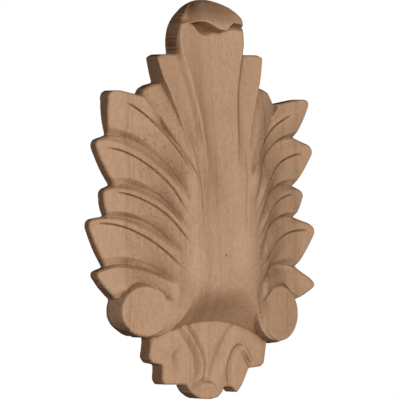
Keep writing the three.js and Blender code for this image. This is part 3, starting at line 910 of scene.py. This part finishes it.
def joined(node, operation, values):
    """Sums many values, or takes their highest."""
    result, *others = values
    for value in others:
        result = math_node(node, operation, result, value)
    return result


def spread(node, value, low, high, to_low=0.0, to_high=1.0):
    """Turns the range from low to high softly into another, and holds its ends."""
    inputs = {"Value": value, "From Min": low, "From Max": high, "To Min": to_low, "To Max": to_high}
    return node("MapRange", inputs, interpolation_type="SMOOTHSTEP").outputs["Result"]


def split(node, vector):
    return node("SeparateXYZ", {0: vector}).outputs


def place_scaled(node, per_mm=(1, 1, 1)):
    """The place on the piece, in steps that are per_mm long along x, y and z."""
    place = node("TexCoord").outputs["Object"]
    scale = [1 / (size * MM) for size in per_mm]
    return node("VectorMath", {0: place, 1: scale}, operation="MULTIPLY").outputs[0]


def noise(node, size, detail, roughness=0.55):
    """Cloudy values with patches of this size."""
    inputs = {"Vector": place_scaled(node, size), "Scale": 1.0, "Detail": detail, "Roughness": roughness}
    return node("TexNoise", inputs).outputs["Fac"]


def across_grain(node):
    """Distance from the middle in millimetres, bent a little, so that lines at one value wander upwards."""
    x, y, _ = split(node, place_scaled(node))
    wander = math_node(node, "MULTIPLY", noise(node, RING_WANDER_SIZE, 2), RING_WANDER)
    leant = math_node(node, "MULTIPLY", y, RING_LEAN)
    return joined(node, "ADD", (x, leant, wander))


def growth_lines(node, across):
    """Dark lines where the growth rings meet the surface: faint ones, and the few that stand out."""
    inputs = {"W": across, "Scale": 1 / RING_WIDTH, "Detail": 3.0, "Roughness": 0.6}
    faint = node("TexNoise", inputs, noise_dimensions="1D").outputs["Fac"]
    lines = [spread(node, faint, 0.34, 0.43, 0.6, 0.0)]
    for x, width, strength in GROWTH_LINES:
        apart = without_sign(node, math_node(node, "SUBTRACT", across, RING_SHIFT + x))
        lines.append(spread(node, apart, 0.2 * width, width, strength, 0.0))
    return joined(node, "MAXIMUM", lines)


def pores(node, size, share, radius):
    """Short dark dashes along the grain, in a share of the cells of a grid of this size."""
    inputs = {"Vector": place_scaled(node, size), "Scale": 0.7, "Detail": 2.0}
    bend = node("TexNoise", inputs).outputs["Color"]
    place = node("VectorMath", {0: bend, 1: (PORE_BEND,) * 3}, operation="MULTIPLY").outputs[0]
    place = node("VectorMath", {0: place, 1: place_scaled(node, size)}, operation="ADD").outputs[0]
    cells = node("TexVoronoi", {"Vector": place, "Scale": 1.0, "Randomness": 1.0})
    distance = spread(node, cells.outputs["Distance"], radius * 0.55, radius, 1.0, 0.0)
    chance = node("SeparateColor", {0: cells.outputs["Color"]}).outputs[0]
    chosen = math_node(node, "LESS_THAN", chance, share)
    return math_node(node, "MULTIPLY", distance, chosen)


def leaning(node):
    """How far the surface beside the smooth stem leans to a side, so that the cut crosses the pores,
    how far it faces up or down, where it shows end grain, and where it is a side wall that gets painted
    shade."""
    x, _, z = split(node, node("NewGeometry").outputs["Normal"])
    aside = without_sign(node, x)
    upright = without_sign(node, z)
    place, _, _ = split(node, place_scaled(node))
    beside = spread(node, without_sign(node, place), *STEM_REACH)
    lean = math_node(node, "MULTIPLY", spread(node, aside, *LEANING), beside)
    return lean, spread(node, upright, *END_GRAIN), spread(node, aside, *WALL_SHADE)


def tone_and_shade_patches(node):
    """Soft darker and paler places in the wood, and painted shade on the roll and above the left volute."""
    place = place_scaled(node)
    patches = []
    for x, z, reach_x, reach_z, strength in TONE_AND_SHADE_PATCHES:
        apart = node("VectorMath", {0: place, 1: (x, 0, z)}, operation="SUBTRACT").outputs[0]
        inputs = {0: apart, 1: (1 / reach_x, 0, 1 / reach_z)}
        apart = node("VectorMath", inputs, operation="MULTIPLY").outputs[0]
        distance = node("VectorMath", {0: apart}, operation="LENGTH").outputs["Value"]
        patches.append(spread(node, distance, 0.1, 1.0, strength, 0.0))
    return joined(node, "ADD", patches)


def pin_knots(node):
    """A few dark points in the stem."""
    place = node("TexCoord").outputs["Object"]
    spots = []
    for x, height, z, radius in PIN_KNOTS:
        inputs = {0: place, 1: (x * MM, -height * MM, z * MM)}
        distance = node("VectorMath", inputs, operation="DISTANCE").outputs["Value"]
        spots.append(spread(node, distance, radius * 0.4 * MM, radius * MM, 1.0, 0.0))
    return joined(node, "MAXIMUM", spots)


def wood_material():
    """Sanded hardwood with upright grain: tone, growth lines, fibres, pores, and painted shade in the
    hollows and on the side walls.
    """
    material, node = new_material("sanded_hardwood")
    across = across_grain(node)
    fibres = spread(node, noise(node, FIBRE_SIZE, 4, 0.65), 0.3, 0.7)
    mottle = spread(node, noise(node, MOTTLE_SIZE, 4, 0.75), 0.34, 0.66)
    lean, end_grain, wall_shade = leaning(node)
    pore_fields = spread(node, noise(node, PORE_FIELD_SIZE, 2), 0.4, 0.62, 0.35, 1.0)
    fine_pores = math_node(node, "MULTIPLY", pores(node, PORE_SIZE, 0.7, 0.4), pore_fields)
    fine_pores = math_node(node, "MULTIPLY", fine_pores, lean)
    layers = {
        "growth lines": growth_lines(node, across),
        "fibres": fibres,
        "mottle": mottle,
        "pores": fine_pores,
        "sparse pores": pores(node, SPARSE_PORE_SIZE, 0.3, 0.15),
        "pin knots": pin_knots(node),
        # painted shade, darker where the surface lies below the wood around it
        "painted hollow shade": node("Attribute", attribute_name="hollow").outputs["Fac"],
        "tone": noise(node, TONE_SIZE, 3),
        "lean": lean,
        "end grain": end_grain,
        # painted shade on the side walls, which the key light barely reaches
        "painted wall shade": wall_shade,
        "crests": node("Attribute", attribute_name="crest").outputs["Fac"],
        "pale side": spread(node, across, *(RING_SHIFT + x for x in PALE_EDGE), 1.0, 0.0),
        # partly painted shade: the darker patches on the roll and above the left volute, where the surface
        # faces down or up
        "tone and shade patches": tone_and_shade_patches(node),
    }
    weighed = [math_node(node, "MULTIPLY", value, DARKENING[name]) for name, value in layers.items()]
    inputs = {0: joined(node, "ADD", weighed), 6: WOOD_LIGHT, 7: WOOD_DARK}
    colour = node("Mix", inputs, data_type="RGBA", clamp_factor=True).outputs[2]
    rough = spread(node, fibres, 0.0, 1.0, 0.62, 0.74)
    grain = math_node(node, "MULTIPLY", math_node(node, "ADD", fibres, mottle), 0.5)
    grain = math_node(node, "SUBTRACT", grain, fine_pores)
    bump = node("Bump", {"Height": grain, "Strength": 0.25, "Distance": 0.00012}).outputs["Normal"]
    shader = material.node_tree.nodes["Principled BSDF"]
    shader.inputs["Specular IOR Level"].default_value = 0.15
    for socket, value in (("Base Color", colour), ("Roughness", rough), ("Normal", bump)):
        material.node_tree.links.new(value, shader.inputs[socket])
    return material


def mark_hollow_shade_and_crests(mesh, height):
    """Notes at each vertex how far it lies below or above the wood around it. Where it lies below, the wood
    is darkened as painted shade; where above, it is made a little paler.
    """
    wood, around = softened(height, HOLLOW_SHADE_REACH)
    places = np.empty(len(mesh.vertices) * 3)
    mesh.vertices.foreach_get("co", places)
    x, _, z = places.reshape(-1, 3).T / MM
    normals = np.empty(len(mesh.vertices) * 3)
    mesh.vertex_normals.foreach_get("vector", normals)
    cells = cell_at(x, z)
    front = wood[cells] & (normals[1::3] < FRONT_NORMAL)
    depth = np.where(front, (around - height)[cells] / HOLLOW_SHADE_DEPTH, 0)
    most = np.where(z > EYES_FROM_Z, EYE_SHADE, 1)
    for name, value in (("hollow", depth), ("crest", -depth)):
        attribute = mesh.attributes.new(name, "FLOAT", "POINT")
        attribute.data.foreach_set("value", np.clip(value, 0, most).astype(np.float32))


def add_object(name, data):
    made = bpy.data.objects.new(name, data)
    bpy.context.collection.objects.link(made)
    return made


def make_rosette():
    field = carve()
    wood, field.height = softened(field.height, FORM_SOFTENING)
    for side in SIDES:
        cut_veins(field, side)
        cut_stem_groove(field, side)
    points, faces, rim = net_mesh(wood, field.height)
    verts, polygons = close_body(points, faces, rim)
    mesh = bpy.data.meshes.new("rosette_carving")
    mesh.from_pydata(verts.tolist(), [], polygons)
    mesh.validate()
    mesh.update()
    mesh.materials.append(wood_material())
    piece = add_object("rosette_carving", mesh)
    thin_out(piece)
    mark_hollow_shade_and_crests(piece.data, np.where(wood, field.height, np.nan))
    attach(piece, "root")
    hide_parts("rosette")


def make_floor():
    mesh = bpy.data.meshes.new("floor")
    signs = ((-1, -1), (1, -1), (1, 1), (-1, 1))
    mesh.from_pydata([(x * FLOOR_HALF, y * FLOOR_HALF, FLOOR_LEVEL) for x, y in signs], [], [(0, 1, 2, 3)])
    material = bpy.data.materials.new("pale_floor")
    material.use_nodes = True
    material.node_tree.nodes["Principled BSDF"].inputs["Base Color"].default_value = FLOOR_COLOUR
    mesh.materials.append(material)
    add_object("floor", mesh)


def direction(azimuth, elevation):
    """From the middle of the object towards this side of it, in degrees to the right and up."""
    a, e = math.radians(azimuth), math.radians(elevation)
    return Vector((math.sin(a) * math.cos(e), -math.cos(a) * math.cos(e), math.sin(e)))


def aim_from(thing, azimuth, elevation):
    """Turns a light or a camera on this side of the object to face it."""
    thing.rotation_mode = "QUATERNION"
    thing.rotation_quaternion = direction(azimuth, elevation).to_track_quat("Z", "Y")


def make_light(name, azimuth, elevation, distance, size, power):
    data = bpy.data.lights.new(name, "AREA")
    data.shape = "DISK"
    data.size = size
    data.energy = power
    light = add_object(name, data)
    light.location = direction(azimuth, elevation) * distance
    aim_from(light, azimuth, elevation)


def make_world():
    """White behind the object, and only a faint glow on it."""
    world = bpy.data.worlds.new("studio")
    bpy.context.scene.world = world
    world.use_nodes = True
    nodes, links = world.node_tree.nodes, world.node_tree.links
    path = nodes.new("ShaderNodeLightPath")
    colour = nodes.new("ShaderNodeMix")
    colour.data_type = "RGBA"
    colour.inputs[6].default_value = GLOW
    colour.inputs[7].default_value = BACKGROUND
    links.new(path.outputs["Is Camera Ray"], colour.inputs[0])
    links.new(colour.outputs[2], nodes["Background"].inputs["Color"])


def make_camera():
    """A long lens to the viewer's left, level with the middle."""
    distance = 3.2
    photo_size = 400
    photo_centre = photo_size / 2
    pixels_per_metre = 2236.0
    object_middle = (198.5, 199.0)
    data = bpy.data.cameras.new("photo_camera")
    camera = add_object("photo_camera", data)
    angle = math.radians(VIEW_AZIMUTH)
    to_the_right = Vector((math.cos(angle), math.sin(angle), 0))
    shift_x = (photo_centre - object_middle[0]) / pixels_per_metre
    shift_z = -(photo_centre - object_middle[1]) / pixels_per_metre
    shift = to_the_right * shift_x + Vector((0, 0, shift_z))
    camera.location = direction(VIEW_AZIMUTH, 0) * distance + shift
    aim_from(camera, VIEW_AZIMUTH, 0)
    data.lens = data.sensor_width * distance / (photo_size / pixels_per_metre)
    data.clip_end = 20
    bpy.context.scene.camera = camera


make_camera()
make_world()
make_light("key", **KEY_LIGHT)
make_floor()
make_rosette()
bpy.context.scene.view_settings.view_transform = "Standard"
